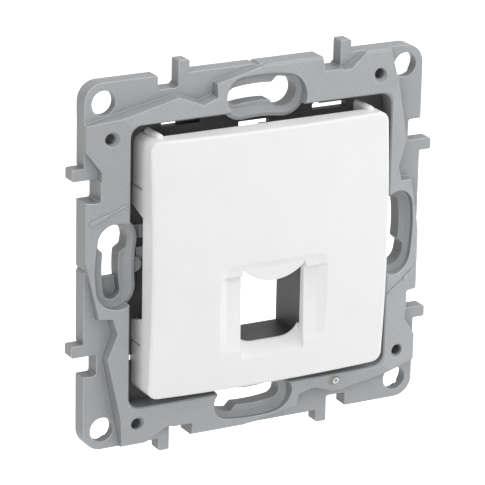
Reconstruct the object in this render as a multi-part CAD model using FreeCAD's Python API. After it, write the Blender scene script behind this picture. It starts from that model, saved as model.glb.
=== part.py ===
import FreeCAD, Part
import math
import os

# A flush wall socket insert for one keystone data jack, seen from the room.
# X runs to the right, Z up, and Y away from the room: the wall is at Y = 0
# and what stands proud of it has a negative Y. The origin is on the wall,
# at the middle of the frame. All sizes are millimetres.

# Plan of the whole insert, from the cover outwards to the 71 mm grid
cover_half = 24.95
cover_gap = 0.5
screw_head_r = 3.8
slot_wall = 0.75
fixing_radius = cover_half + cover_gap + slot_wall + screw_head_r
opening_margin = 2.45
opening_half = cover_half + opening_margin
rail_width = 8.1
frame_half = opening_half + rail_width
corner_radius = 3.7

# Heights of the frame above the wall
rim_height = 3.3
step_at_edge = 0.65
edge_bevel_run = 0.45
edge_bevel_rise = 0.40
rail_slope = 0.25

# Opening in the frame and the rebate behind it
opening_radius = 2.2
opening_chamfer = 0.35
rebate_width = 1.0
rebate_depth = 2.0

# Interlocking tabs and the notches that take the next frame's tabs
tab_reach = 2.45
tab_width = 2.25
tab_thickness = 2.8
tab_tip_radius = 0.35
tab_a_from_corner = 18.97
tab_b_from_corner = 18.0
tab_a_start = tab_a_from_corner - frame_half
tab_b_start = frame_half - tab_b_from_corner
notch_clearance = 0.97
notch_end_clearance = 0.2
notch_corner_radius = 0.5

# Recessed corner fields: a step line as (from corner, from edge) points of the top side
field_depth_at_corner = 7.4
field_line = [(18.2, 3.75), (23.1, 5.5), (25.85, 4.7), (26.1, 2.25)]
field_run_out = 36.9
tab_b_field = [(1.5, 0.05), (5.25, 2.65)]
step_draft_deg = 9.0

# Holes in the frame
corner_hole_inset = 3.85
corner_hole_at = frame_half - corner_hole_inset
corner_hole_r = 2.4
corner_hole_relief = 0.7
pilot_from_corner = 10.3
pilot_from_edge = 4.5
pilot_along = frame_half - pilot_from_corner
pilot_out = frame_half - pilot_from_edge
pilot_r = 1.0
pilot_mouth_r = 1.4
pilot_cone_depth = 0.6

# Keyhole slots for the wall box screws
screw_shank_r = 1.7
head_hole_r = 2.9
slot_foot_inset = 1.05
slot_mouth_spread = 0.2
slot_small_deg = -8.6
counterbore_small_deg = -6.9
slot_big_deg = 10.2
shoulder_deg = 5.5
shoulder_slope = 1.15
slot_floor_height = 2.95
slot_wall_height = 3.8
stem_step = 0.4
stem_gap = 0.1

# Centre groove in each outer edge and the locating nubs
groove_half_width = 0.5
groove_depth = 0.35
nub_r = 1.5
nub_sink = 0.3
nub_bottom = 2.1
nub_top = 3.3
arm_top = 2.8
arm_link_top = 2.5
arm_under_cover = 2.05
arms = [(0.75, 3.1, 0.85), (4.9, 7.4, 1.4)]
bridge_start = -2.4
bridge_end = -6.6
bridge_thickness = 0.9
nib_at = 20.0
nib_length = 3.0
nib_reach = 0.45
nib_thickness = 0.35

# Cored back of the frame
skin = 1.85
rim_wall = 1.3
boss_wall = 1.1

# Keystone carrier plate
plate_clearance = 0.2
plate_rear_gap = 0.05
plate_rear = nib_thickness + plate_rear_gap
bulge_clearance = 0.3

# Gaps along the plate's upper edge: start and end along it, outer and inner edge from the opening
window_border = 0.5
open_gaps = [(-19.3, -15.6, window_border, 2.1), (-3.2, 1.75, 3.05, 6.4),
             (1.75, 3.45, 3.05, 4.25), (12.4, 19.6, 1.55, 2.75), (12.6, 14.0, 1.25, 1.6)]
blind_gap = (-15.6, -11.3, window_border, 2.1)
blind_floor = 0.6
side_gap_depth = 3.0
side_gap_span = (-19.8, -18.2)

# Keystone tunnel
jack_width = 14.7
jack_height = 16.5
tunnel_floor = -17.1
tunnel_wall = 1.2
tunnel_front_gap = 0.2
tunnel_rear = 1.0
hook_width = 10.0
hook_reach = 1.0
hook_thickness = 1.5


# Cover plate
cover_corner_radius = 2.0
dome_radius = 250.0
dome_height = 11.8
cover_wall = 1.4
cover_front_wall = 1.6
skirt_height = 6.2
front_edge_radius = 0.6

# Legs, snap tongues and beads of the cover
leg_start_high = 9.8
leg_start_low = 11.2
leg_top_width = 3.6
tongue_slit_at = 15.2
tongue_slit = 0.35
tongue_slit_top = 5.6
barb_reach = 0.5
barb_height = 0.9
barb_bottom = 0.3
tongue_clearance = 0.15
bead_r = 0.75
bead_from_side = 2.85
bead_top = 6.9

# Recess round the jack opening of the cover
recess_top = -0.1
recess_bottom = -17.4
recess_half = 11.3
recess_depth = 0.4
recess_corner_radius = 2.2
recess_bevel_top = 1.1
recess_bevel_side = 1.6
recess_corner_steps = 4
channel_top = -2.6
channel_bottom = -16.0
channel_half = 9.6
channel_height_top = 10.5
channel_height_bottom = 10.8
recess_wall = 1.15
aperture_half = 6.65
lip_radius = 9.2
lip_bottom = -4.15

# Finger scoop below the jack opening
scoop_bottom_deep = -16.75
scoop_bottom_front = -19.2
scoop_side_deep = 4.3
scoop_flat_half = 3.0
scoop_height = 8.3
scoop_corner_rise = 0.1
scoop_wall = 1.2

# Overshoot of cutting tools past the faces they cut
over = 1.0


def vec(x, y, z):
    return FreeCAD.Vector(x, y, z)


def box(x0, x1, y0, y1, z0, z1):
    return Part.makeBox(x1 - x0, y1 - y0, z1 - z0, vec(x0, y0, z0))


def prism(points, y0, y1):
    """A straight prism along Y on a polygon of (x, z) points."""
    corners = [vec(x, y0, z) for x, z in points]
    face = Part.Face(Part.makePolygon(corners + corners[:1]))
    return face.extrude(vec(0, y1 - y0, 0))


def rounded_square(half, radius, y0, y1):
    """A square block along Y with rounded corners."""
    block = box(-half, half, y0, y1, -half, half)
    upright = [e for e in block.Edges if abs(e.BoundBox.YLength - (y1 - y0)) < 1e-6]
    return block.makeFillet(radius, upright)


def post(x, z, radius, y0, y1):
    return Part.makeCylinder(radius, y1 - y0, vec(x, y0, z), vec(0, 1, 0))


def turned(shape, quarter):
    """The same shape on another side of the frame, a quarter turn at a time."""
    copy = shape.copy()
    copy.rotate(vec(0, 0, 0), vec(0, 1, 0), -90 * quarter)
    return copy


def on_all_sides(shape):
    return [turned(shape, quarter) for quarter in range(4)]


def on_two_sides(shape, first):
    return [turned(shape, first), turned(shape, first + 2)]


def arc_point(radius, degrees):
    """A point at an angle from the top, clockwise for positive degrees."""
    turn = math.radians(degrees)
    return (radius * math.sin(turn), radius * math.cos(turn))


def banana_wire(half_width, start_deg, end_deg, y0):
    """The outline of a slot bent round the middle of the frame, with round ends."""
    inner = fixing_radius - half_width
    outer = fixing_radius + half_width
    middle_deg = (start_deg + end_deg) / 2

    def at(radius, degrees):
        x, z = arc_point(radius, degrees)
        return vec(x, y0, z)

    def end_cap(degrees, outward):
        centre = at(fixing_radius, degrees)
        x, z = arc_point(1.0, degrees + 90)
        return centre + vec(x, 0, z) * (half_width * outward)

    edges = [
        Part.Arc(at(outer, start_deg), at(outer, middle_deg), at(outer, end_deg)).toShape(),
        Part.Arc(at(outer, end_deg), end_cap(end_deg, 1), at(inner, end_deg)).toShape(),
        Part.Arc(at(inner, end_deg), at(inner, middle_deg), at(inner, start_deg)).toShape(),
        Part.Arc(at(inner, start_deg), end_cap(start_deg, -1), at(outer, start_deg)).toShape(),
    ]
    return Part.Wire(edges)


def banana(half_width, start_deg, end_deg, y0, y1):
    """A solid on that outline, straight through."""
    outline = banana_wire(half_width, start_deg, end_deg, y0)
    return Part.Face(outline).extrude(vec(0, y1 - y0, 0))


def rail_height(out):
    """Height of the sloping rail above the wall, this far out from the middle."""
    bevel_out = frame_half - edge_bevel_run
    at_bevel = rim_height + step_at_edge + edge_bevel_rise
    return at_bevel + rail_slope * (bevel_out - out)


def square_wire(half, height):
    corners = [(-half, -half), (half, -half), (half, half), (-half, half)]
    points = [vec(x, -height, z) for x, z in corners]
    return Part.makePolygon(points + points[:1])


def rail_block():
    """The four sloping rails as one mitred block, before anything is cut."""
    edge_height = rim_height + step_at_edge
    bevel_out = frame_half - edge_bevel_run
    wires = [
        square_wire(frame_half, 0),
        square_wire(frame_half, edge_height),
        square_wire(bevel_out, edge_height + edge_bevel_rise),
        square_wire(opening_half - over, rail_height(opening_half - over)),
    ]
    return Part.makeLoft(wires, True, True)


def opening_mouth():
    """A small chamfer round the front edge of the opening."""
    edge = rail_height(opening_half)
    lower = (edge - opening_chamfer, opening_half)
    upper = (edge + opening_chamfer, opening_half + 2 * opening_chamfer)
    wires = []
    for height, half in (lower, upper):
        block = rounded_square(half, opening_radius, -height, over - height)
        front = min(block.Faces, key=lambda face: face.CenterOfMass.y)
        wires.append(front.OuterWire)
    return Part.makeLoft(wires, True, True)


def drafted_tool(points):
    """A cutter above the rim height whose walls open towards the room."""
    depth = rail_height(0) - rim_height
    corners = [vec(x, -rim_height, z) for x, z in points]
    low = Part.makePolygon(corners + corners[:1])
    spread = depth * math.tan(math.radians(step_draft_deg))
    high = low.makeOffset2D(spread, 2)
    high.translate(vec(0, -depth, 0))
    return Part.makeLoft([low, high], True, True)


def tab_a_end():
    return tab_a_start + tab_width


def notch_floor():
    return frame_half - tab_reach - notch_end_clearance


def corner_field():
    """The low field round a corner hole and the first tab of the top side."""
    past = frame_half + 3 * over
    line = [(along - frame_half, frame_half - depth) for along, depth in field_line]
    at_corner = frame_half - field_depth_at_corner
    run_out = field_run_out - frame_half
    first_x, first_z = line[0]
    slope = (first_z - at_corner) / (first_x + frame_half)
    last_x, last_z = line[-1]
    rise = (frame_half - last_z) / (run_out - last_x)
    start = (-past, at_corner - slope * (past - frame_half))
    end_x = run_out + (past - frame_half) / rise
    points = [start] + line + [(end_x, past), (-past, past)]
    return drafted_tool(points)


def tab_field():
    """The small low field beside the second tab."""
    floor = notch_floor()
    past = frame_half + 3 * over
    (x0, z0), (x1, z1) = tab_b_field
    slope = (z1 - z0) / (x1 - x0)
    end_x = x0 + (past - floor - z0) / slope
    points = [(0, z0), (x0, z0), (end_x, past - floor), (0, past - floor)]
    return drafted_tool([(tab_b_start + x, floor + z) for x, z in points])


def notch(tab_start):
    """Room for the neighbour's tab, just before our own tab."""
    width = tab_width + 2 * notch_clearance
    past = frame_half + 3 * over
    room = box(tab_start - width, tab_start, -rail_height(0), over, notch_floor(), past)
    inner = [e for e in room.Edges if abs(e.BoundBox.ZMax - notch_floor()) < 1e-6
             and e.BoundBox.YLength > rim_height]
    room = room.makeFillet(notch_corner_radius, inner)
    behind_tab = box(tab_start - over, tab_start + tab_width, tab_thickness - rim_height, over,
                     notch_floor() + notch_corner_radius, past)
    return room.fuse(behind_tab)


def tab(tab_start):
    """One tab that hooks into the next frame of a gang."""
    tip = frame_half + tab_reach
    block = box(tab_start, tab_start + tab_width, -rim_height, tab_thickness - rim_height,
                notch_floor() - over, tip)
    tip_edges = [e for e in block.Edges
                 if abs(e.BoundBox.ZMin - tip) < 1e-6 and e.BoundBox.YLength > tab_thickness / 2]
    return block.makeFillet(tab_tip_radius, tip_edges)


def pilot_hole():
    """A small screw hole with a cone at its mouth."""
    top = rail_height(pilot_out)
    cone_top_r = pilot_mouth_r + (pilot_mouth_r - pilot_r)
    cone = Part.makeCone(cone_top_r, pilot_r, 2 * pilot_cone_depth,
                         vec(pilot_along, -top - pilot_cone_depth, pilot_out), vec(0, 1, 0))
    return cone.fuse(post(pilot_along, pilot_out, pilot_r, -top - over, over))


def keyhole():
    """The through slot: a narrow bent slot that opens into a round for the head."""
    y0 = -rail_height(0)
    narrow = banana(screw_shank_r, slot_small_deg, slot_big_deg, y0, over)
    round_end = banana(head_hole_r, 0, slot_big_deg, y0, over)
    reach = 2 * head_hole_r
    spread = screw_shank_r + shoulder_slope * reach
    funnel = prism([(0, fixing_radius + screw_shank_r), (reach, fixing_radius + spread),
                    (2 * reach, fixing_radius + spread), (2 * reach, fixing_radius - spread),
                    (reach, fixing_radius - spread), (0, fixing_radius - screw_shank_r)], y0, over)
    funnel.rotate(vec(0, 0, 0), vec(0, 1, 0), shoulder_deg)
    return narrow.fuse(round_end.common(funnel))


def counterbore():
    """The sunk floor round the slot, with walls that open towards the room."""
    at_inner_rail = rail_height(fixing_radius - screw_head_r)
    mouth = screw_head_r + slot_mouth_spread
    steps = [(slot_floor_height, screw_head_r - slot_foot_inset),
             (slot_wall_height, screw_head_r),
             (at_inner_rail, mouth),
             (rail_height(0), mouth + over / 2)]
    wires = [banana_wire(half_width, counterbore_small_deg, slot_big_deg, -height)
             for height, half_width in steps]
    return Part.makeLoft(wires, True, True)


def stem_half_width():
    return screw_head_r + slot_wall - stem_step


def slot_boss():
    """The wall round a keyhole slot, narrower where it passes through the carrier."""
    front = banana(screw_head_r + slot_wall, counterbore_small_deg, slot_big_deg,
                   -slot_wall_height, -rebate_depth - stem_gap)
    stem = banana(stem_half_width(), counterbore_small_deg, slot_big_deg, -slot_wall_height, 0)
    return front.fuse(stem)


def stem_cut_out():
    """Room in the carrier for the narrow part of that wall."""
    return banana(stem_half_width() + bulge_clearance, counterbore_small_deg, slot_big_deg,
                  -rebate_depth - over, over)


def centre_groove():
    tip = frame_half - groove_depth
    points = [(-2 * groove_half_width, frame_half + groove_depth), (0, tip),
              (2 * groove_half_width, frame_half + groove_depth)]
    return prism(points, -rim_height, over)


def locating_nub():
    """A half round nub and two arms on the slot wall, in front of the carrier."""
    reach = fixing_radius - screw_head_r - slot_wall
    nub = post(0, reach - nub_sink, nub_r, -nub_top, -nub_bottom)
    arm_out = cover_half - arm_under_cover
    parts = []
    for start, end, block_gap in arms:
        parts.append(box(start, end, -arm_top, -nub_bottom, arm_out, reach - block_gap))
        parts.append(box(start, end, -arm_link_top, -nub_bottom, arm_out, reach + slot_wall))
    return nub.fuse(parts)


def slot_bridge():
    """A thin web behind the far end of one slot."""
    web = box(bridge_end, bridge_start, -bridge_thickness, 0,
              fixing_radius - screw_head_r, fixing_radius + screw_head_r)
    return web.common(banana(stem_half_width(), counterbore_small_deg, slot_big_deg,
                             -bridge_thickness, 0))


def rebate_nib():
    """A snap nib at the back of the rebate, behind the carrier plate."""
    wall = opening_half + rebate_width
    return box(nib_at - nib_length, nib_at, -nib_thickness, 0, wall - nib_reach, wall + over / 2)


def core_keepouts():
    """What stays solid on the back: bosses, notches and the rebate wall."""
    height = rail_height(0)
    width = tab_width + 2 * notch_clearance
    floor = notch_floor() - boss_wall
    past = frame_half + over
    keep = [
        banana(screw_head_r + boss_wall, counterbore_small_deg, slot_big_deg, -height, over),
        post(pilot_along, pilot_out, pilot_mouth_r + boss_wall / 2, -height, over),
        box(tab_a_start - width - boss_wall, tab_a_end() + boss_wall, -height, over, floor, past),
        box(tab_b_start - width - boss_wall, tab_b_start + tab_width + boss_wall,
            -height, over, floor, past),
    ]
    solids = []
    for shape in keep:
        solids += on_all_sides(shape)
    return solids


def core_cavity():
    """Hollow channels in the back of the rails, under an even skin."""
    outer = frame_half - rim_wall
    inner = opening_half + rebate_width + rim_wall
    low_top = rim_height - skin
    low = rounded_square(outer, corner_radius - rim_wall, -low_top, over)
    low = low.cut(rounded_square(inner, opening_radius, -low_top - over, 2 * over))
    high = Part.makeLoft([square_wire(outer, -over),
                          square_wire(outer, rail_height(outer) - skin),
                          square_wire(inner, rail_height(inner) - skin)], True, True)
    high = high.cut(box(-inner, inner, -rail_height(0), 2 * over, -inner, inner))
    fields = []
    for field in on_all_sides(corner_field()) + on_all_sides(tab_field()):
        thick = field.copy()
        thick.translate(vec(0, skin, 0))
        fields.append(thick)
    high = high.cut(fields)
    return low.fuse(high).cut(core_keepouts())


def mounting_frame():
    """The moulded frame that is screwed to the wall box."""
    plate = rounded_square(frame_half, corner_radius, -rim_height, 0)
    rails = rail_block().cut(on_all_sides(corner_field()) + on_all_sides(tab_field()))
    outline = rounded_square(frame_half, corner_radius, -rail_height(0), 0)
    frame = plate.fuse(rails).common(outline)
    opening = rounded_square(opening_half, opening_radius, -rail_height(0), over)
    rebate = rounded_square(opening_half + rebate_width, opening_radius, -rebate_depth, over)
    frame = frame.cut([opening, opening_mouth(), rebate, core_cavity()])
    frame = frame.cut(on_all_sides(notch(tab_a_start)) + on_all_sides(notch(tab_b_start)))
    additions = on_all_sides(tab(tab_a_start)) + on_all_sides(tab(tab_b_start))
    additions += on_all_sides(slot_boss())
    additions += on_two_sides(locating_nub(), 1)
    frame = frame.fuse(additions)
    holes = on_all_sides(counterbore()) + on_all_sides(keyhole()) + on_all_sides(pilot_hole())
    corner = post(-corner_hole_at, corner_hole_at, corner_hole_r, -rail_height(0), over)
    holes += on_all_sides(corner) + on_all_sides(centre_groove())
    relief = post(-corner_hole_at, corner_hole_at, corner_hole_r + corner_hole_relief,
                  skin - rim_height, over)
    holes += on_all_sides(relief)
    frame = frame.cut(holes)
    nibs = on_all_sides(rebate_nib())
    nibs += [nib.mirror(vec(0, 0, 0), vec(1, 0, 0)) for nib in nibs]
    return frame.fuse(nibs + [turned(slot_bridge(), 1)]).removeSplitter()


def plate_half():
    return opening_half + rebate_width - plate_clearance


def tongue_slot(sign):
    """Slot in the carrier plate for one snap tongue, on the right hand side."""
    wall_inner = cover_half - cover_wall
    z0 = leg_start_low - tongue_clearance
    z1 = tongue_slit_at + tongue_clearance
    slot = box(wall_inner - tongue_clearance, cover_half + tongue_clearance,
               -rebate_depth - over, over, z0, z1)
    catch = box(wall_inner - barb_reach - 2 * tongue_clearance, cover_half,
                -barb_height - tongue_clearance, over, z0, z1)
    both = slot.fuse(catch)
    if sign < 0:
        both = both.mirror(vec(0, 0, 0), vec(0, 0, 1))
    return both


def plate_windows():
    """Gaps along the plate's edge that show light past the cover."""
    depth = rebate_depth + over
    windows = [box(start, end, -depth, over, opening_half - inner, opening_half - outer)
               for start, end, outer, inner in open_gaps]
    start, end, outer, inner = blind_gap
    windows.append(box(start, end, -depth, -blind_floor, opening_half - inner, opening_half - outer))
    low, high = side_gap_span
    windows.append(box(window_border - opening_half, side_gap_depth - opening_half,
                       -depth, over, low, high))
    return windows


def tunnel_front():
    return channel_height_top - recess_wall - tunnel_front_gap


def keystone_carrier():
    """The plate behind the cover with the tunnel that holds the jack."""
    half = plate_half()
    plate = rounded_square(half, opening_radius, -rebate_depth, -plate_rear)
    cuts = on_all_sides(stem_cut_out())
    cuts += plate_windows()
    for sign in (1, -1):
        slot = tongue_slot(sign)
        cuts += [slot, slot.mirror(vec(0, 0, 0), vec(1, 0, 0))]
    plate = plate.cut(cuts)
    side = jack_width / 2
    top = tunnel_floor + jack_height
    outer = box(-side - tunnel_wall, side + tunnel_wall, -tunnel_front(), tunnel_rear,
                tunnel_floor - tunnel_wall, top + tunnel_wall)
    hook = box(-hook_width / 2, hook_width / 2, tunnel_rear - hook_thickness, tunnel_rear,
               tunnel_floor - tunnel_wall - hook_reach, top + tunnel_wall + hook_reach)
    hole = box(-side, side, -tunnel_front() - over, tunnel_rear + over, tunnel_floor, top)
    scoop_room = box(-side - 2 * tunnel_wall, side + 2 * tunnel_wall,
                     -tunnel_front() - over, tunnel_front_gap - scoop_height,
                     tunnel_floor - 2 * tunnel_wall,
                     scoop_bottom_deep + scoop_side_deep / 2 + tunnel_front_gap)
    carrier = plate.fuse([outer, hook]).cut([hole, scoop_room])
    return carrier.removeSplitter()


def dome(inset):
    """The ball whose skin is the bowed front of the cover, or a shell inside it."""
    return Part.makeSphere(dome_radius - inset, vec(0, dome_radius - dome_height, 0))


def cover_shell():
    """The bowed front with its skirt, open at the back."""
    deep = dome_height + over
    block = rounded_square(cover_half, cover_corner_radius, -deep, -skirt_height)
    body = block.common(dome(0))
    rim = [e for e in body.Edges if e.BoundBox.YMax < -skirt_height - 2 * over]
    body = body.makeFillet(front_edge_radius, rim)
    inner_half = cover_half - cover_wall
    inner = rounded_square(inner_half, cover_corner_radius - cover_wall / 2, -deep, over)
    return body.cut(inner.common(dome(cover_front_wall)))


def cover_legs():
    """Corner legs behind the skirt, slit to leave four snap tongues."""
    foot = rebate_depth
    inner_half = cover_half - cover_wall
    tube = rounded_square(cover_half, cover_corner_radius, -skirt_height, -foot)
    tube = tube.cut(rounded_square(inner_half, cover_corner_radius - cover_wall / 2,
                                   -skirt_height - over, over))
    past = cover_half + over
    slant = (leg_start_low - leg_start_high) / (skirt_height - foot)
    low_z = leg_start_low + slant * over
    side_gap = Part.makePolygon([
        vec(-past, -skirt_height, -leg_start_high), vec(-past, -skirt_height, leg_start_high),
        vec(-past, over - foot, low_z), vec(-past, over - foot, -low_z),
        vec(-past, -skirt_height, -leg_start_high)])
    cuts = [Part.Face(side_gap).extrude(vec(2 * past, 0, 0)),
            box(leg_top_width - cover_half, cover_half - leg_top_width,
                -skirt_height, 0, -past, past)]
    for sign in (1, -1):
        z0 = sign * tongue_slit_at - tongue_slit / 2
        cuts.append(box(-past, past, -tongue_slit_top, 0, z0, z0 + tongue_slit))
    return tube.cut(cuts)


def snap_tongue():
    """The end of one tongue, through the plate, with its barb: upper right."""
    inner = cover_half - cover_wall
    foot = rebate_depth
    z0 = leg_start_low
    z1 = tongue_slit_at - tongue_slit / 2
    stem = box(inner, cover_half, -foot, -barb_bottom, z0, z1)
    barb = box(inner - barb_reach, inner, -barb_height, -barb_bottom, z0, z1)
    return stem.fuse(barb)


def bead():
    """A half round bead on the top wall of the skirt: right hand one."""
    foot = rebate_depth
    bead_at = cover_half - bead_from_side
    rod = post(bead_at, cover_half, bead_r, -bead_top, -foot)
    nose = Part.makeSphere(bead_r, vec(bead_at, -bead_top, cover_half))
    inside = box(0, cover_half, -dome_height, 0, 0, cover_half - cover_wall / 2)
    return rod.fuse(nose).cut(inside)


def four_corners(shape):
    across = shape.mirror(vec(0, 0, 0), vec(1, 0, 0))
    return [shape, across, shape.mirror(vec(0, 0, 0), vec(0, 0, 1)),
            across.mirror(vec(0, 0, 0), vec(0, 0, 1))]


def dome_at(x, z):
    """Height of the bowed front above the wall at one place."""
    return dome_height - dome_radius + math.sqrt(dome_radius ** 2 - x ** 2 - z ** 2)


def tilted_ball(x, z, inward_x, inward_z, bevel):
    """The ball of the front, tipped so that it dips inward from one point."""
    ball = dome(0)
    tilt = math.degrees(math.atan(recess_depth / bevel))
    ball.rotate(vec(x, -dome_at(x, z), z), vec(-inward_z, 0, inward_x), tilt)
    return ball


def level_tool():
    """The shallow level at the top of the recess, with its sloped border."""
    balls = [dome(recess_depth)]
    centre_x = recess_half - recess_corner_radius
    centre_z = recess_top - recess_corner_radius
    for side in (1, -1):
        for step in range(recess_corner_steps + 1):
            share = step / recess_corner_steps
            turn = math.radians(90 * share)
            out_x = side * math.cos(turn)
            out_z = math.sin(turn)
            bevel = recess_bevel_side + share * (recess_bevel_top - recess_bevel_side)
            balls.append(tilted_ball(side * centre_x + recess_corner_radius * out_x,
                                     centre_z + recess_corner_radius * out_z,
                                     -out_x, -out_z, bevel))
    block = box(-recess_half, recess_half, -dome_height - over, -channel_height_top,
                channel_top, recess_top + over)
    over_lip = box(-aperture_half, aperture_half, -dome_height - over, -channel_height_top,
                   lip_bottom - over, channel_top)
    return block.fuse(over_lip).cut(balls)


def closed(points):
    return Part.makePolygon(points + points[:1])


def channel_tool():
    """The wedge that sinks both sides of the jack opening."""
    front = dome_height + over
    skim = 0.05
    top_front = dome_at(recess_half, channel_top) + skim
    low_front = dome_at(channel_half, recess_bottom) + skim

    def corners(half, top_height, low_height, low_z):
        return [vec(-half, -top_height, channel_top), vec(half, -top_height, channel_top),
                vec(half, -low_height, low_z), vec(-half, -low_height, low_z)]

    floor = corners(channel_half, channel_height_top, channel_height_bottom, channel_bottom)
    mouth = corners(recess_half, top_front, low_front, recess_bottom)
    ahead = corners(recess_half, front, front, recess_bottom)
    wedge = Part.makeLoft([closed(floor), closed(mouth), closed(ahead)], True, True)
    lip = post(0, lip_bottom + lip_radius, lip_radius, -front - over, 0)
    keep_ramp = box(-aperture_half, aperture_half, -front - over, 0,
                    recess_bottom - over, scoop_bottom_deep + scoop_side_deep / 2)
    return wedge.cut([lip, keep_ramp])


def scoop_outline(side_z, bottom, sag, height):
    """A U in a plane across Y: straight sides, a flat bottom and curved corners."""
    top = lip_bottom - lip_radius
    mid_x = (aperture_half + scoop_flat_half) / 2
    mid_z = (side_z + bottom) / 2 - sag

    def at(x, z):
        return vec(x, -height, z)

    def corner(start, middle, end):
        if sag:
            return Part.Arc(start, middle, end).toShape()
        return Part.makeLine(start, end)

    left = at(-aperture_half, side_z)
    right = at(aperture_half, side_z)
    flat_left = at(-scoop_flat_half, bottom)
    flat_right = at(scoop_flat_half, bottom)
    return Part.Wire([
        Part.makeLine(at(-aperture_half, top), left),
        corner(left, at(-mid_x, mid_z), flat_left),
        Part.makeLine(flat_left, flat_right),
        corner(flat_right, at(mid_x, mid_z), right),
        Part.makeLine(right, at(aperture_half, top)),
        Part.makeLine(at(aperture_half, top), at(-aperture_half, top)),
    ])


def scoop_tool():
    """The ramp from the front down to the round edge of the jack opening."""
    width = aperture_half - scoop_flat_half
    drop = scoop_side_deep - math.sqrt(scoop_side_deep ** 2 - width ** 2)
    half_drop = scoop_side_deep - math.sqrt(scoop_side_deep ** 2 - (width / 2) ** 2)
    front = dome_at(0, scoop_bottom_front)
    edge = scoop_outline(scoop_bottom_deep + drop, scoop_bottom_deep,
                         drop / 2 - half_drop, scoop_height)
    mouth = scoop_outline(scoop_bottom_front + scoop_corner_rise, scoop_bottom_front, 0, front)
    run = (scoop_bottom_deep - scoop_bottom_front) / (front - scoop_height)
    ahead = scoop_outline(scoop_bottom_front + scoop_corner_rise - run * over,
                          scoop_bottom_front - run * over, 0, front + over)
    behind = scoop_outline(scoop_bottom_deep + drop, scoop_bottom_deep,
                           drop / 2 - half_drop, scoop_height - 2 * over)
    return Part.makeLoft([behind, edge, mouth, ahead], True, True)


def aperture_tool():
    """The opening for the jack, with the round lip left at its top."""
    deep = dome_height + over
    low = scoop_bottom_deep + scoop_side_deep / 2
    hole = box(-aperture_half, aperture_half, -deep, 0, low, lip_bottom + lip_radius / 2)
    lip = post(0, lip_bottom + lip_radius, lip_radius, -deep - over, over)
    return hole.cut(lip)


def recess_backing():
    """Walls behind the recess and the scoop, before they are cut."""
    back = channel_height_top - recess_wall
    front = channel_height_bottom
    floor_block = box(-recess_half, recess_half, -front, -back,
                      recess_bottom - scoop_wall, recess_top)
    width = aperture_half + scoop_wall
    scoop_low = scoop_bottom_front - scoop_wall
    scoop_high = scoop_bottom_deep + scoop_side_deep / 2
    side = Part.makePolygon([
        vec(-width, -front, scoop_low), vec(-width, -back, scoop_low),
        vec(-width, -scoop_height, scoop_bottom_deep - scoop_wall),
        vec(-width, -scoop_height, scoop_high), vec(-width, -front, scoop_high),
        vec(-width, -front, scoop_low)])
    return floor_block.fuse(Part.Face(side).extrude(vec(2 * width, 0, 0)))


def cover_plate():
    """The white cover that clips over the carrier."""
    cover = cover_shell().fuse([cover_legs(), recess_backing().common(dome(0))])
    cover = cover.fuse(four_corners(snap_tongue()) + four_corners(bead()))
    cover = cover.cut([level_tool(), channel_tool(), scoop_tool(), aperture_tool()])
    return cover.removeSplitter()


def build():
    os.makedirs("parts", exist_ok=True)
    nodes = {
        "mounting_frame": mounting_frame,
        "keystone_carrier": keystone_carrier,
        "cover_plate": cover_plate,
    }
    for name, make in nodes.items():
        shape = make()
        bounds = shape.BoundBox
        print(name, len(shape.Solids), "solid", "valid", shape.isValid(),
              "volume", round(shape.Volume, 1),
              "Y", round(bounds.YMin, 2), round(bounds.YMax, 2))
        shape.exportStep("parts/%s.step" % name)


build()
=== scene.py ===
# %% [markdown]
# # A keystone faceplate in soft studio light
# The object is a square data socket insert: a grey moulded frame that is screwed to a wall
# box, a dark plate behind its opening, and a white bowed cover with an opening for one jack.
# The solids come from a CAD model, and this lesson dresses them: camera, light, plastics,
# softened edges and the small moulded marks that are too fine for the solids.
# We start by loading the frame. Every length below is in metres, as in the CAD model.

# %% Load the model
import math
import bmesh
import bpy
from mathutils import Matrix, Vector


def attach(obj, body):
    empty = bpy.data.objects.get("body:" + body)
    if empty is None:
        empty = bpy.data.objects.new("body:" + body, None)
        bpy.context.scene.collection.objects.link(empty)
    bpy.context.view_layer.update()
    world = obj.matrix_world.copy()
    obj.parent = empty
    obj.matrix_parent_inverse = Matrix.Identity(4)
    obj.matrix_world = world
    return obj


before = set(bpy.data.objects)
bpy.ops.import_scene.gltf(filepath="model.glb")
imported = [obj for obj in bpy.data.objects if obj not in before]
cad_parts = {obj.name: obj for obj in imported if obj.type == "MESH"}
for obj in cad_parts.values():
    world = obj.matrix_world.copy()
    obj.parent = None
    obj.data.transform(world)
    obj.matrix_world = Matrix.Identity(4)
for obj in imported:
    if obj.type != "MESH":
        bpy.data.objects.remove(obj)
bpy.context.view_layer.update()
MM = 0.001
print("nodes:", sorted(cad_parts))

# %% [markdown]
# ## The camera
# A product photograph like this one is taken from far away with a long lens, so parallel
# edges stay nearly parallel. We could eyeball a camera, but the better way is to find
# its angles by matching known corners. Here the angles, the distance and the lens are given
# as numbers, and three unit vectors turn them into the camera's matrix: right, up and back.

# %% Place the camera
azimuth = math.radians(-28.6602)
elevation = math.radians(18.6667)
roll = math.radians(1.1861)
distance = 624.486 * MM
aim_right = -2.22 * MM
aim_up = 0.645 * MM
aim_plane = -3.3 * MM
sensor = 36.0
focal_pixels = 3328.5
photo_width = 485
lens = focal_pixels * sensor / photo_width

back = Vector((math.sin(azimuth) * math.cos(elevation),
               -math.cos(azimuth) * math.cos(elevation),
               math.sin(elevation)))
level_right = Vector((math.cos(azimuth), math.sin(azimuth), 0))
level_up = back.cross(level_right)
right = math.cos(roll) * level_right + math.sin(roll) * level_up
up = math.cos(roll) * level_up - math.sin(roll) * level_right
place = right * aim_right + up * aim_up + back * distance + Vector((0, aim_plane, 0))

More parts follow.
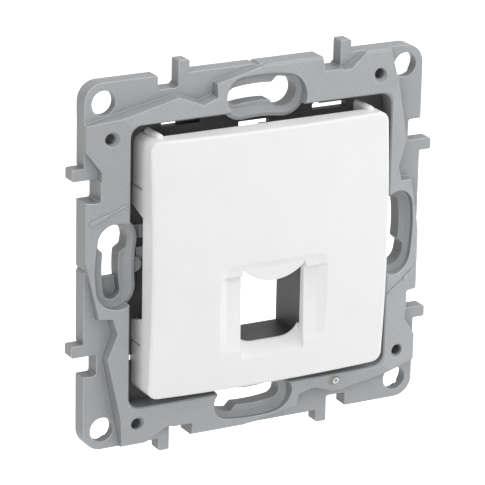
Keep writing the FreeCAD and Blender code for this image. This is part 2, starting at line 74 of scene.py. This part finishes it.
camera = bpy.data.objects.new("camera", bpy.data.cameras.new("camera"))
camera.matrix_world = Matrix.Translation(place) @ Matrix((right, up, back)).transposed().to_4x4()
camera.data.sensor_width = sensor
camera.data.lens = lens
bpy.context.scene.collection.objects.link(camera)
bpy.context.scene.camera = camera
bpy.context.scene.view_settings.view_transform = "Standard"
print("camera at", [round(v, 3) for v in place], "lens", round(lens, 1), "mm")

# %% [markdown]
# ## Shader maths as plain Python
# A material is a graph of nodes. Wiring each Math node by hand hides the formula, so we wrap
# a socket in a small class and overload the operators: `1 - mask * 0.2` then adds the nodes
# for us. Every other node comes from one method, `node`, which takes the node's type, its
# settings and the values or links of its sockets. `into` plugs a result into a shader.

# %% A socket that can do sums
class Signal:
    def __init__(self, tree, socket=None):
        self.tree = tree
        self.socket = socket

    def node(self, kind, settings=None, values=None, out=0):
        made = self.tree.nodes.new(kind)
        for name, setting in (settings or {}).items():
            setattr(made, name, setting)
        for name, value in (values or {}).items():
            if isinstance(value, Signal):
                self.tree.links.new(value.socket, made.inputs[name])
            else:
                made.inputs[name].default_value = value
        return Signal(self.tree, made.outputs[out])

    def into(self, node, name):
        self.tree.links.new(self.socket, node.inputs[name])

    def maths(self, operation, first, second=0.0, clamp=False):
        settings = {"operation": operation, "use_clamp": clamp}
        return self.node("ShaderNodeMath", settings, {0: first, 1: second})

    def __add__(self, other):
        return self.maths("ADD", self, other)

    def __sub__(self, other):
        return self.maths("SUBTRACT", self, other)

    def __rsub__(self, other):
        return self.maths("SUBTRACT", other, self)

    def __mul__(self, other):
        return self.maths("MULTIPLY", self, other)

    def __abs__(self):
        return self.maths("ABSOLUTE", self)

    def clamped(self):
        return self.maths("ADD", self, clamp=True)

    __radd__ = __add__
    __rmul__ = __mul__


print("signals can add, subtract and multiply")

# %% [markdown]
# A Math node turns a colour grey, so colours go through a Mix node instead. That node keeps
# separate sockets for numbers, vectors and colours, and we name the ones for colours. A
# second helper starts a material and hands out its shader and its tree.

# %% Blend two colours
MIX_FIRST, MIX_SECOND, MIX_RESULT = 6, 7, 2


def blend(factor, first, second):
    ends = [tone if isinstance(tone, Signal) else (*tone, 1) for tone in (first, second)]
    values = {"Factor": factor, MIX_FIRST: ends[0], MIX_SECOND: ends[1]}
    return factor.node("ShaderNodeMix", {"data_type": "RGBA"}, values, MIX_RESULT)


def begin_material(name):
    material = bpy.data.materials.new(name)
    material.use_nodes = True
    return material, material.node_tree.nodes["Principled BSDF"], Signal(material.node_tree)


print("colours can be blended")

# %% [markdown]
# ## A pale stage
# The photograph shows the part on clean white. We could pump light onto a white floor, but
# that would wash out the part. Instead the floor and the world are simply white to the
# camera and to reflections, while the light they throw on the part stays at a plain level.
# The Light Path node tells which kind of ray is looking.

# %% What kind of ray is looking
def seen_directly(paint):
    camera_ray, glossy_ray, clear_ray = (
        paint.node("ShaderNodeLightPath", out=ray)
        for ray in ("Is Camera Ray", "Is Glossy Ray", "Is Transmission Ray"))
    return (camera_ray + glossy_ray + clear_ray).clamped()


fill_strength = 0.30
world = bpy.data.worlds.new("studio")
world.use_nodes = True
bpy.context.scene.world = world
background = world.node_tree.nodes["Background"]
background.inputs["Color"].default_value = (1, 1, 1, 1)
direct = seen_directly(Signal(world.node_tree))
strength = direct * (1 - fill_strength) + fill_strength
strength.into(background, "Strength")
print("world fill", fill_strength)

# %% [markdown]
# The floor lies well below the part, because the part hangs free in the photograph and
# throws no shadow that the camera sees. It is an ordinary diffuse white with a little glow
# for direct looks, so that a shadow on it would still show.

# %% The floor
floor_level = -0.30
floor_reach = 6.0
floor_white = (0.8, 0.8, 0.8)
floor_glow = (0.9, 0.9, 0.9)


def make_floor(level, reach):
    mesh = bpy.data.meshes.new("studio_floor")
    shape = bmesh.new()
    bmesh.ops.create_grid(shape, x_segments=1, y_segments=1, size=reach)
    shape.to_mesh(mesh)
    shape.free()
    floor = bpy.data.objects.new("studio_floor", mesh)
    floor.location.z = level
    bpy.context.scene.collection.objects.link(floor)
    material, shader, paint = begin_material("floor_white")
    shader.inputs["Base Color"].default_value = (*floor_white, 1)
    shader.inputs["Roughness"].default_value = 0.9
    shader.inputs["Emission Strength"].default_value = 1.0
    blend(seen_directly(paint), (0, 0, 0), floor_glow).into(shader, "Emission Color")
    mesh.materials.append(material)
    return floor


floor = make_floor(floor_level, floor_reach)
print("floor at", floor.location.z)

# %% [markdown]
# ## Soft lights
# The tones of the photograph tell where its lamps stood. The rail that tips to the right is
# the brightest, so the strongest boxes stand at the right and high on the right. The cover's
# top wall asks for a box above, and the walls that look left for two weaker ones. One more
# stands behind, so that the back can be seen and the slots' inner walls pick up some light.
# Large lamps near the part give the soft edges that plastic needs. Each box is written as
# the direction in which it stands and its power in watts.

# %% Add the softboxes
lamp_distance = 1.1
lamp_side = 0.7
softboxes = {
    "box_right": ((0.970, -0.171, 0.174), 6.5),
    "box_high_right": ((0.455, -0.542, 0.707), 3.6),
    "box_low_right": ((0.583, -0.694, -0.423), 2.6),
    "box_above": ((0.0, -0.087, 0.996), 4.0),
    "box_front_left": ((-0.633, -0.754, 0.174), 3.7),
    "box_left": ((-0.970, -0.171, 0.174), 2.3),
    "box_behind": ((0.15, 0.93, -0.33), 2.6),
}


def softbox(name, towards, power):
    lamp = bpy.data.lights.new(name, "AREA")
    lamp.shape = "SQUARE"
    lamp.size = lamp_side
    lamp.energy = power
    holder = bpy.data.objects.new(name, lamp)
    holder.location = Vector(towards).normalized() * lamp_distance
    holder.rotation_euler = Vector(towards).to_track_quat("Z", "Y").to_euler()
    bpy.context.scene.collection.objects.link(holder)


for name, (towards, power) in softboxes.items():
    softbox(name, towards, power)
    print(name, power, "W")

# %% [markdown]
# ## Moulded plastic
# All three pieces are injection moulded. Such plastic is never quite one flat colour: the
# pigment drifts a little, and the mould leaves a fine grain. Both come from noise, which we
# stretch to a range with `levels` and use to blend two tones.

# %% A recipe for plastics
plastic_ior = 1.28


def begin_plastic(name, viewport_colour):
    material, shader, paint = begin_material(name)
    shader.inputs["IOR"].default_value = plastic_ior
    material.diffuse_color = (*viewport_colour, 1)
    coords = paint.node("ShaderNodeTexCoord", out="Object")
    return material, shader, paint, coords


def noise(coords, cell, detail=2.0):
    values = {"Vector": coords, "Scale": 1 / cell, "Detail": detail}
    return coords.node("ShaderNodeTexNoise", None, values)


def levels(signal, low, high):
    values = {"Value": signal, "From Min": low, "From Max": high}
    return signal.node("ShaderNodeMapRange", {"clamp": True}, values)


print("plastic recipe ready")

# %% [markdown]
# ### Masks that follow the shape
# Every moulded edge has a tiny radius that catches the light. We could bevel the mesh, but a
# CAD mesh has slivers that a bevel dislikes. The Bevel node rounds the edges in the shading
# alone. The same node tells where an edge is: there the rounded normal leaves the flat one.
# Ambient Occlusion finds hollows, and the direction of a face tells a wall from a front.

# %% Edges, hollows and walls
depth_axis = (0, 1, 0)
upward = (0, 0, 1)
towards_glint = (-0.25, -0.65, 0.72)


def soft_edges(grain, radius, depth):
    rounded = grain.node("ShaderNodeBevel", {"samples": 6}, {"Radius": radius})
    values = {"Height": grain, "Distance": depth, "Strength": 1.0, "Normal": rounded}
    return grain.node("ShaderNodeBump", None, values)


def dot_product(first, second):
    settings = {"operation": "DOT_PRODUCT"}
    return first.node("ShaderNodeVectorMath", settings, {0: first, 1: second}, "Value")


def distance_from(coords, spot):
    settings = {"operation": "DISTANCE"}
    return coords.node("ShaderNodeVectorMath", settings, {0: coords, 1: spot}, "Value")


# mask for the frame's painted highlight: edges whose rounded normal turns towards the glint
def edge_shine(paint, radius, full_turn):
    rounded = paint.node("ShaderNodeBevel", {"samples": 8}, {"Radius": radius})
    flat = paint.node("ShaderNodeNewGeometry", out="True Normal")
    turned = levels(1 - dot_product(rounded, flat), 0.0, full_turn)
    return turned * levels(dot_product(rounded, towards_glint), 0.35, 0.95)


def hollows(paint, reach):
    settings = {"samples": 8}
    return 1 - paint.node("ShaderNodeAmbientOcclusion", settings, {"Distance": reach}, "AO")


def side_walls(paint, keep_tops, low=0.25, high=0.75):
    flat = paint.node("ShaderNodeNewGeometry", out="True Normal")
    facing = abs(dot_product(flat, depth_axis))
    rising = levels(dot_product(flat, upward), 0.2, 0.8)
    return levels(1 - facing, low, high) * (1 - rising * keep_tops)


print("masks ready")

# %% [markdown]
# ### Grey of the frame
# The frame is a mid grey with faint painted glints on its grain. Two marks of the mould come
# from the distance to a point: painted shade for a shallow dish round the gate, and a painted
# highlight for the rim of the faint ring that an ejector pin leaves. Both are so shallow that
# paint stands in for their light and shade.

# %% Tone and marks of the frame
frame_drift = 6 * MM
frame_greys = (0.347, 0.363, 0.375), (0.377, 0.393, 0.405)
painted_glint_grey = (0.60, 0.62, 0.63)
gate_dish = Vector((16.4, -5.94, -28.7)) * MM
dish_painted_shade = (0.19, 0.19, 0.195)
pin_mark = Vector((-16.73, -5.99, 28.5)) * MM
pin_radius = 2.5 * MM
pin_ring_painted_highlight = (0.62, 0.64, 0.65)


def frame_tone(coords, grain):
    drift = noise(coords, frame_drift)
    colour = blend(levels(drift * 0.5 + grain * 0.5, 0.30, 0.70), *frame_greys)
    # painted glints: pale specks at the grain's peaks stand in for glints
    return blend(levels(grain, 0.60, 0.72) * 0.50, colour, painted_glint_grey)


def mould_marks_painted_light(coords, colour):
    # painted shade: a dark disc for the shallow dish round the gate
    dish = 1 - levels(distance_from(coords, gate_dish), 1.0 * MM, 1.3 * MM)
    colour = blend(dish * 0.45, colour, dish_painted_shade)
    # painted highlight: a pale thin ring for the rim of the ejector-pin mark
    ring = 1 - levels(abs(distance_from(coords, pin_mark) - pin_radius), 0.0, 0.14 * MM)
    return blend(ring * 0.10, colour, pin_ring_painted_highlight)


print("frame tones", frame_greys)

# %% [markdown]
# Shade is painted on the frame too. Faces near a wall get painted shade where they lose some
# light, the feet of walls get painted shade, and holes get painted shade that fades towards
# black. Each is one more blend over the colour so far: a mask says where it goes, and a
# factor how strong it is.

# %% Shades of the frame
shade_grey = (0.08, 0.08, 0.085)
foot_painted_shade = (0.085, 0.085, 0.10)
hole_painted_shade = (0.02, 0.02, 0.022)
frame_tops_kept = 0.7
hole_reach = 6 * MM
foot_reach = 1.6 * MM


# every blend here is painted shade: near walls in hollows, at the feet of walls, and in holes
def frame_shades(paint, colour, walls):
    closed = hollows(paint, hole_reach)
    slopes = side_walls(paint, frame_tops_kept, 0.05, 0.25)
    shade = levels(closed, 0.05, 0.27) * (0.05 + slopes * 0.07 + walls * 0.12)
    colour = blend(shade, colour, shade_grey)
    feet = levels(hollows(paint, foot_reach), 0.12, 0.42)
    colour = blend(feet * (0.10 + slopes * 0.32), colour, foot_painted_shade)
    return blend(levels(closed, 0.74, 0.92) * 0.75, colour, hole_painted_shade)


print("shades reach", hole_reach / MM, "and", foot_reach / MM, "mm")

# %% [markdown]
# Now the parts come together. Walls get painted shade that makes them a little darker than
# fronts, and edges that look up get a painted highlight, a bright line. The grain also feeds
# the roughness and the bump, so that a speck is pale with a painted glint, rough and raised
# at the same spot. The skin is matt enough that the rails show no mirror image.

# %% Frame grey
wall_painted_shade = (0.275, 0.273, 0.275)
edge_painted_highlight = (0.86, 0.90, 0.93)
frame_grain = 0.22 * MM
frame_grain_depth = 0.012 * MM
frame_edge = 0.22 * MM
shine_edge = 0.28 * MM


def frame_plastic():
    material, shader, paint, coords = begin_plastic("frame_grey_plastic", (0.36, 0.37, 0.38))
    grain = noise(coords, frame_grain, 3.0)
    walls = side_walls(paint, frame_tops_kept)
    # painted shade: walls a little darker than fronts
    colour = blend(walls * 0.85, frame_tone(coords, grain), wall_painted_shade)
    shine = edge_shine(paint, shine_edge, 0.20)
    # painted highlight along edges that look up, then the painted shade and highlight of the
    # mould marks
    colour = mould_marks_painted_light(coords, blend(shine * 0.9, colour, edge_painted_highlight))
    frame_shades(paint, colour, walls).into(shader, "Base Color")
    (0.34 + grain * 0.16 - shine * 0.10).into(shader, "Roughness")
    soft_edges(grain, frame_edge, frame_grain_depth).into(shader, "Normal")
    return material


print("frame grey is written down")

# %% [markdown]
# ### White of the cover
# The cover is a smoother, brighter plastic. Its faces read as one clean white, and only the
# edges and the rims of the recess show a narrow highlight.

# %% Cover white
cover_whites = (0.800, 0.803, 0.800), (0.822, 0.823, 0.818)
cover_drift = 9 * MM
cover_grain = 0.3 * MM
cover_grain_depth = 0.003 * MM
cover_edge = 0.28 * MM


def cover_plastic():
    material, shader, _, coords = begin_plastic("cover_white_plastic", (0.82, 0.82, 0.81))
    drift = noise(coords, cover_drift)
    grain = noise(coords, cover_grain)
    blend(levels(drift, 0.25, 0.75), *cover_whites).into(shader, "Base Color")
    (0.28 + grain * 0.08).into(shader, "Roughness")
    soft_edges(grain, cover_edge, cover_grain_depth).into(shader, "Normal")
    return material


print("cover tones", cover_whites)

# %% [markdown]
# ### Dark plate behind
# The plate that carries the jack is nearly black with a satin skin, which picks up soft
# greys in the gaps round the cover. The walls of its tunnel get painted light that makes them
# a little paler, and painted shade that darkens them into their corners.

# %% Carrier dark
carrier_darks = (0.094, 0.093, 0.092), (0.116, 0.115, 0.115)
tunnel_painted_light = (0.150, 0.147, 0.147)
corner_painted_shade = (0.025, 0.025, 0.028)
corner_reach = 7 * MM
carrier_drift = 4 * MM
carrier_grain = 0.25 * MM
carrier_grain_depth = 0.010 * MM
carrier_edge = 0.18 * MM


def carrier_plastic():
    material, shader, paint, coords = begin_plastic("carrier_dark_plastic", (0.07, 0.07, 0.075))
    drift = noise(coords, carrier_drift)
    grain = noise(coords, carrier_grain, 3.0)
    colour = blend(levels(drift, 0.3, 0.7), *carrier_darks)
    walls = side_walls(paint, 0.0)
    # painted light: tunnel walls paler than the plate's front
    colour = blend(walls * 0.7, colour, tunnel_painted_light)
    # painted shade: the tunnel walls darken into their corners
    corners = levels(hollows(paint, corner_reach), 0.05, 0.50)
    colour = blend(walls * corners * 0.75, colour, corner_painted_shade)
    colour.into(shader, "Base Color")
    (0.42 + grain * 0.16).into(shader, "Roughness")
    soft_edges(grain, carrier_edge, carrier_grain_depth).into(shader, "Normal")
    return material


print("carrier tones", carrier_darks)

# %% [markdown]
# ### Dress the solids
# Each of the three mouldings is one solid and one plastic, so a solid's own material is
# simply exchanged for the plastic made for it.

# %% Put the plastics on the solids
plastics = {"mounting_frame": frame_plastic(), "cover_plate": cover_plastic(),
            "keystone_carrier": carrier_plastic()}
for name, material in plastics.items():
    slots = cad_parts[name].data.materials
    slots.clear()
    slots.append(material)
    print(name, "wears", material.name)

# %% [markdown]
# ## Marks on the rails
# The marks repeat from rail to rail by a quarter turn, so we describe them once, for the top
# rail, as a place `along` it and a distance `outward` from the middle. One function lifts
# such a place onto the sloping face of any rail.

# %% Find a place on a rail
rail_slope = 0.25
rail_edge = 35.05 * MM
rail_edge_height = 4.35 * MM


def on_rail(quarter, along, outward, lift=0.0):
    height = rail_edge_height + rail_slope * (rail_edge - outward) + lift
    turn = Matrix.Rotation(math.radians(90 * quarter), 3, "Y").inverted()
    return turn @ Vector((along, -height, outward))


rails = {"top": 0, "left": 1, "bottom": 2, "right": 3}
for name, quarter in rails.items():
    print(name, [round(v / MM, 1) for v in on_rail(quarter, 10 * MM, 30 * MM)])

# %% [markdown]
# A mark is a mesh of its own. It rides on the part's one body, and it takes its finish from
# the grey of the frame.

# %% Turn a mesh into a piece
def add_piece(name, shape, material):
    bmesh.ops.recalc_face_normals(shape, faces=shape.faces)
    mesh = bpy.data.meshes.new(name)
    shape.to_mesh(mesh)
    shape.free()
    mesh.materials.append(material)
    piece = bpy.data.objects.new(name, mesh)
    bpy.context.scene.collection.objects.link(piece)
    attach(piece, "root")
    return piece


print("pieces ride on root")

# %% [markdown]
# ### The screwdriver symbol
# Beside the slots of the left and right rails stands a tiny raised screwdriver: a handle, a
# collar and a thin shaft. Each is a flat bar with round ends that we sweep up from just under
# the rail's face to about a fifth of a millimetre above it.

# %% Bars on a sloping rail
symbol_start = Vector((9.25, 34.75)) * MM
symbol_end = Vector((12.68, 28.1)) * MM
symbol_length = (symbol_end - symbol_start).length
symbol_height = 0.22 * MM
symbol_sink = 0.15 * MM


def bar(start, end, width_start, width_end, steps=6):
    outline = []
    for end_point, width, turn in ((end, width_end, -0.5), (start, width_start, 0.5)):
        for i in range(steps + 1):
            angle = math.pi * (turn + i / steps)
            across = width / 2 * math.sin(angle)
            outline.append((end_point + width / 2 * math.cos(angle), across))
    return outline


def sweep_up(shape, quarter, outline, height):
    direction = (symbol_end - symbol_start).normalized()
    across = Vector((-direction.y, direction.x))
    rings = []
    for lift in (-symbol_sink, height):
        ring = []
        for reach, side in outline:
            spot = symbol_start + direction * reach + across * side
            ring.append(shape.verts.new(on_rail(quarter, spot.x, spot.y, lift)))
        rings.append(ring)
    low, high = rings
    for i in range(len(low)):
        j = (i + 1) % len(low)
        shape.faces.new((low[i], low[j], high[j], high[i]))
    shape.faces.new(high)
    shape.faces.new(low[::-1])


print("symbol is", round(symbol_length / MM, 2), "mm long")

# %% [markdown]
# The three bars differ a little in height, because faces at one height would fight for the
# same place. A small Bevel modifier softens their rims, which is safe on a mesh as clean as
# this one.

# %% Draw the symbol
collar = 0.39 * symbol_length
collar_height = symbol_height * 1.4
shaft_height = symbol_height * 0.9
rim_width = 0.05 * MM
rim_angle = math.radians(50)


def round_rims(piece):
    rims = piece.modifiers.new("soft_rims", "BEVEL")
    rims.width = rim_width
    rims.segments = 2
    rims.limit_method = "ANGLE"
    rims.angle_limit = rim_angle


def screwdriver_symbol(name, quarter):
    shape = bmesh.new()
    handle = bar(0.3 * MM, collar - 0.4 * MM, 0.95 * MM, 0.75 * MM)
    sweep_up(shape, quarter, handle, symbol_height)
    ring = bar(collar - 0.1 * MM, collar + 0.1 * MM, 0.84 * MM, 0.84 * MM)
    sweep_up(shape, quarter, ring, collar_height)
    shaft = bar(collar + 0.2 * MM, symbol_length, 0.36 * MM, 0.36 * MM)
    sweep_up(shape, quarter, shaft, shaft_height)
    piece = add_piece(name, shape, plastics["mounting_frame"])
    round_rims(piece)
    return piece


for name, quarter in (("symbol_left", rails["left"]), ("symbol_right", rails["right"])):
    piece = screwdriver_symbol(name, quarter)
    print(name, "has", len(piece.data.polygons), "faces")

# %% [markdown]
# ### The gate pip
# Plastic enters the mould through a small gate, and a raised ring with a pit in it is left
# where the gate was. The rim is painted pale, while the pit and the foot round the ring get
# painted shade, so the pip gets a plastic of its own that changes with the distance from its
# middle.

# %% Pale rim and dark pit
pip_along = -17.05 * MM
pip_outward = 28.9 * MM
pip_painted_shade = (0.17, 0.17, 0.165)
rim_white = (0.78, 0.79, 0.77)
grain_grey = (0.45, 0.45, 0.45)
pip_grain = 0.15 * MM
pip_grain_depth = 0.008 * MM
pip_edge = 0.06 * MM


def gate_plastic(centre):
    material, shader, _, coords = begin_plastic("gate_pip_plastic", (0.60, 0.61, 0.60))
    reach = distance_from(coords, centre)
    grain = noise(coords, pip_grain)
    pit = 1 - levels(reach, 0.22 * MM, 0.36 * MM)
    foot = levels(reach, 0.66 * MM, 0.80 * MM)
    # painted shade in the pit and round the foot, with the pale rim between them
    colour = blend((1 - pit) * (1 - foot), pip_painted_shade, rim_white)
    blend(grain * 0.25, colour, grain_grey).into(shader, "Base Color")
    (0.34 + grain * 0.12).into(shader, "Roughness")
    soft_edges(grain, pip_edge, pip_grain_depth).into(shader, "Normal")
    return material


pip_centre = on_rail(rails["bottom"], pip_along, pip_outward)
pip_material = gate_plastic(pip_centre)
print("pip stands at", [round(v / MM, 2) for v in pip_centre])

# %% [markdown]
# The pip is round, so we spin a short profile about its axis. Each pair in the profile is a
# radius and a height over the rail's face, in millimetres, from the foot to the pit's middle.

# %% Spin the pip
pip_profile = [(0.98, -0.15), (0.96, 0.02), (0.80, 0.03), (0.68, 0.16),
               (0.52, 0.22), (0.36, 0.17), (0.24, 0.04), (0.0, 0.02)]
pip_steps = 28


def spin(name, material, quarter, along, outward, profile):
    centre = on_rail(quarter, along, outward)
    ahead = (on_rail(quarter, along + MM, outward) - centre).normalized()
    out = (on_rail(quarter, along, outward + MM) - centre).normalized()
    lifted = (on_rail(quarter, along, outward, MM) - centre).normalized()
    shape = bmesh.new()
    rings = []
    for radius, height in profile:
        ring = []
        for i in range(pip_steps if radius else 1):
            angle = 2 * math.pi * i / pip_steps
            spoke = math.cos(angle) * ahead + math.sin(angle) * out
            ring.append(shape.verts.new(centre + (spoke * radius + lifted * height) * MM))
        rings.append(ring)
    for outer, inner in zip(rings, rings[1:]):
        for i in range(pip_steps):
            j = (i + 1) % pip_steps
            corners = (outer[i], outer[j], inner[j % len(inner)], inner[i % len(inner)])
            shape.faces.new(dict.fromkeys(corners))
    for face in shape.faces:
        face.smooth = True
    return add_piece(name, shape, material)


pip = spin("gate_pip", pip_material, rails["bottom"], pip_along, pip_outward, pip_profile)
print("pip has", len(pip.data.polygons), "faces")
